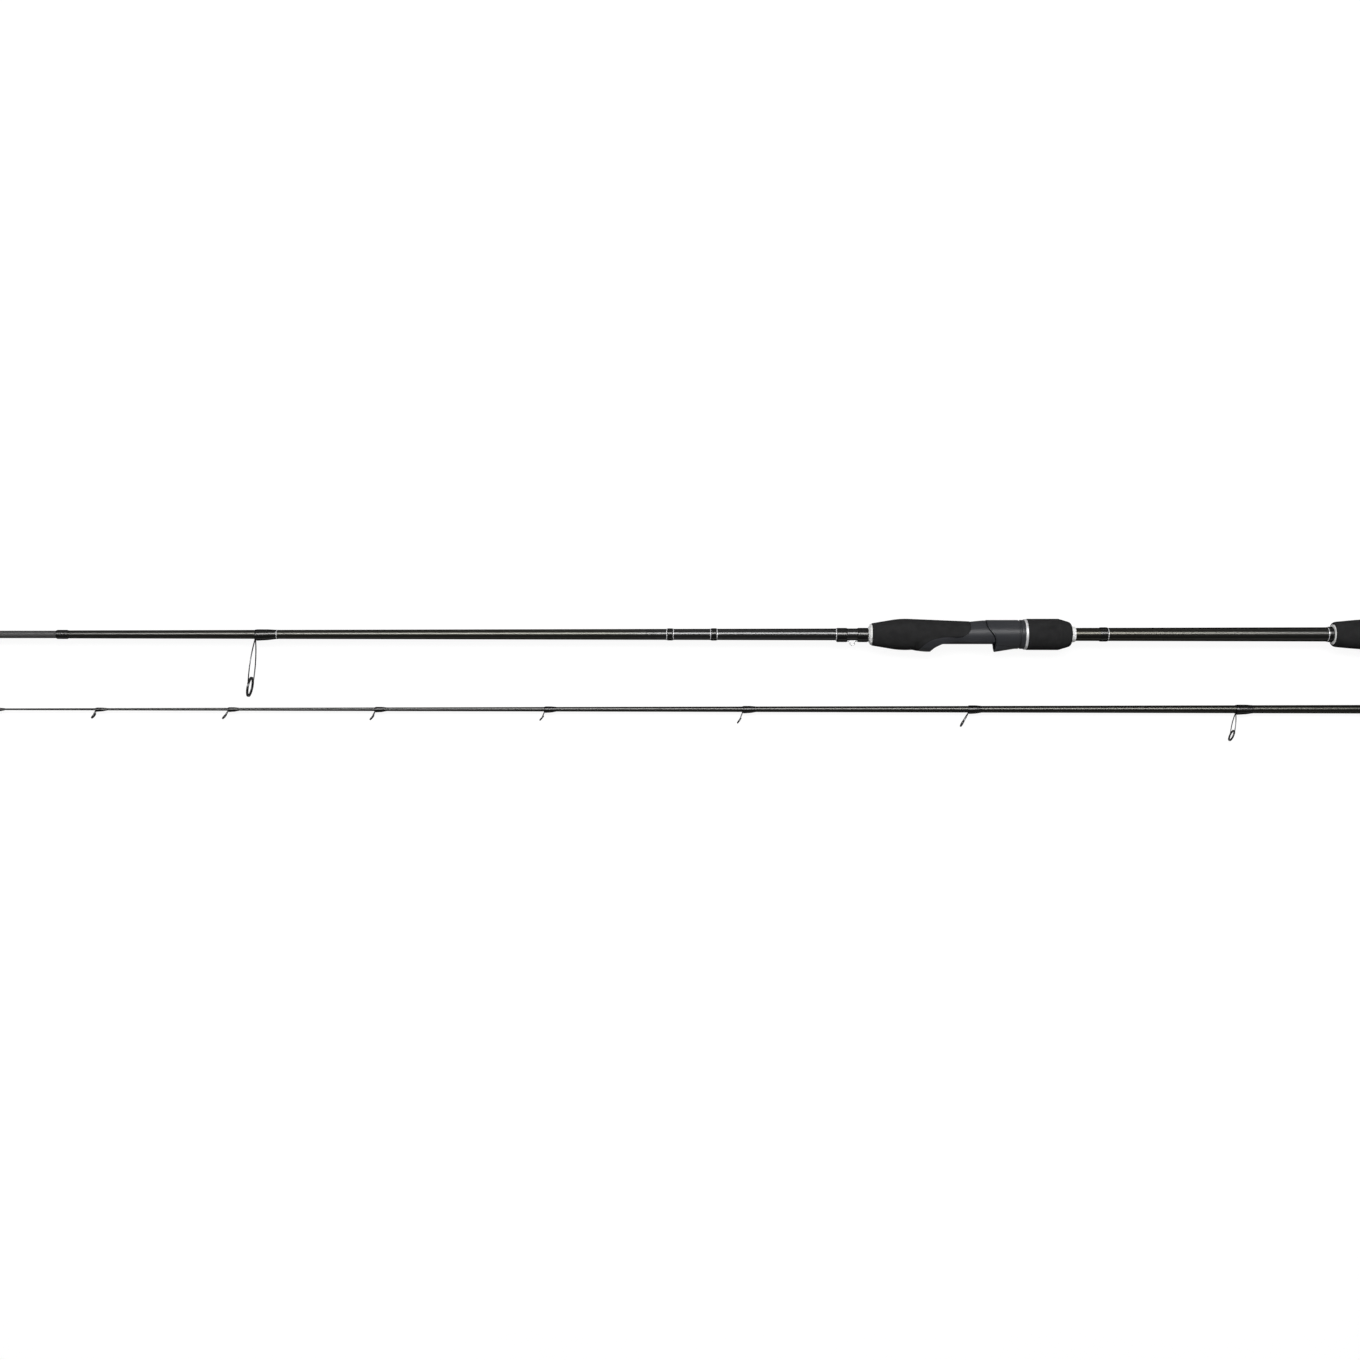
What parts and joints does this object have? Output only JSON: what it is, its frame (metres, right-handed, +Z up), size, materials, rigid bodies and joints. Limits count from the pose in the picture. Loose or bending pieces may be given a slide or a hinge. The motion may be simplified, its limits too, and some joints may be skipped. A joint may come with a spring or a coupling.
{
  "type": "spinning rod",
  "caption": "Two-piece spinning rod taken apart: butt section with foam grips, hooded reel seat and lock nut, beside a tip section with line guides.",
  "frame": {"origin": "centre of the underside of the box around both sections, on the surface that they lie on", "axes": "+X along the rod towards the butt end, -Y the side that the guides and the reel are on, +Z up from the surface"},
  "size_m": [1.1482, 0.0886, 0.023],
  "materials": {
    "blank": "clear coat over dark carbon tube, matte on the ferrule",
    "thread_wrap": "black winding thread under glossy resin",
    "silver_trim": "bright silver",
    "guide_steel": "polished stainless wire",
    "guide_ceramic": "polished dark ceramic",
    "keeper_wire": "bright wire",
    "white_plastic": "satin white",
    "foam": "matte closed-cell foam",
    "seat_plastic": "satin charcoal moulding",
    "arbor": "plain bushing, hidden",
    "cap_rubber": "matte moulded rubber"
  },
  "bodies": {
    "butt_section": {"butt_blank": "blank", "butt_ferrule_wrap": "thread_wrap", "stripper_guide_wrap": "thread_wrap", "label_band_wraps": "thread_wrap", "keeper_wraps": "thread_wrap", "rear_accent_wrap": "thread_wrap", "butt_accent_wrap": "thread_wrap", "stripper_guide_frame": "guide_steel", "stripper_guide_ring": "guide_ceramic", "silver_trim_bands": "silver_trim", "hook_keeper": "keeper_wire", "front_winding_check": "white_plastic", "butt_winding_check": "white_plastic", "foregrip": "foam", "butt_grip": "foam", "reel_seat_body": "seat_plastic", "seat_arbors": "arbor", "butt_cap": "cap_rubber"},
    "moving_hood": {"moving_hood": "seat_plastic"},
    "lock_nut": {"lock_nut": "seat_plastic", "nut_trim_ring": "silver_trim", "nut_grip": "foam", "nut_end_ring": "white_plastic"},
    "tip_section": {"tip_blank": "blank", "tip_ferrule_wrap": "thread_wrap", "tip_guide_1_frame": "guide_steel", "tip_guide_1_ring": "guide_ceramic", "tip_guide_1_wrap": "thread_wrap", "tip_guide_2_frame": "guide_steel", "tip_guide_2_ring": "guide_ceramic", "tip_guide_2_wrap": "thread_wrap", "tip_guide_3_frame": "guide_steel", "tip_guide_3_ring": "guide_ceramic", "tip_guide_3_wrap": "thread_wrap", "tip_guide_4_frame": "guide_steel", "tip_guide_4_ring": "guide_ceramic", "tip_guide_4_wrap": "thread_wrap", "tip_guide_5_frame": "guide_steel", "tip_guide_5_ring": "guide_ceramic", "tip_guide_5_wrap": "thread_wrap", "tip_guide_6_frame": "guide_steel", "tip_guide_6_ring": "guide_ceramic", "tip_guide_6_wrap": "thread_wrap", "tip_guide_7_frame": "guide_steel", "tip_guide_7_ring": "guide_ceramic", "tip_guide_7_wrap": "thread_wrap", "tip_guide_8_frame": "guide_steel", "tip_guide_8_ring": "guide_ceramic", "tip_guide_8_wrap": "thread_wrap", "tip_top_frame": "guide_steel", "tip_top_ring": "guide_ceramic", "tip_top_wrap": "thread_wrap"}
  },
  "joints": [
    {"name": "hood_slide", "type": "slide", "parent": "butt_section", "child": "moving_hood", "axis": [1, 0, 0], "range_m": [0, 0.01201]},
    {"name": "nut_turn", "type": "hinge", "parent": "moving_hood", "child": "lock_nut", "pos_m": [0.236, 0.03282, 0.01152], "axis": [1, 0, 0], "range_deg": [0, 2160]},
    {"name": "tip_lift", "type": "slide", "parent": "butt_section", "child": "tip_section", "axis": [0, 0, 1], "range_m": [0, 0.3]}
  ],
  "couplings": [
    {"joint": "hood_slide", "follows": "nut_turn", "m_per_rad": 0.00031831}
  ]
}
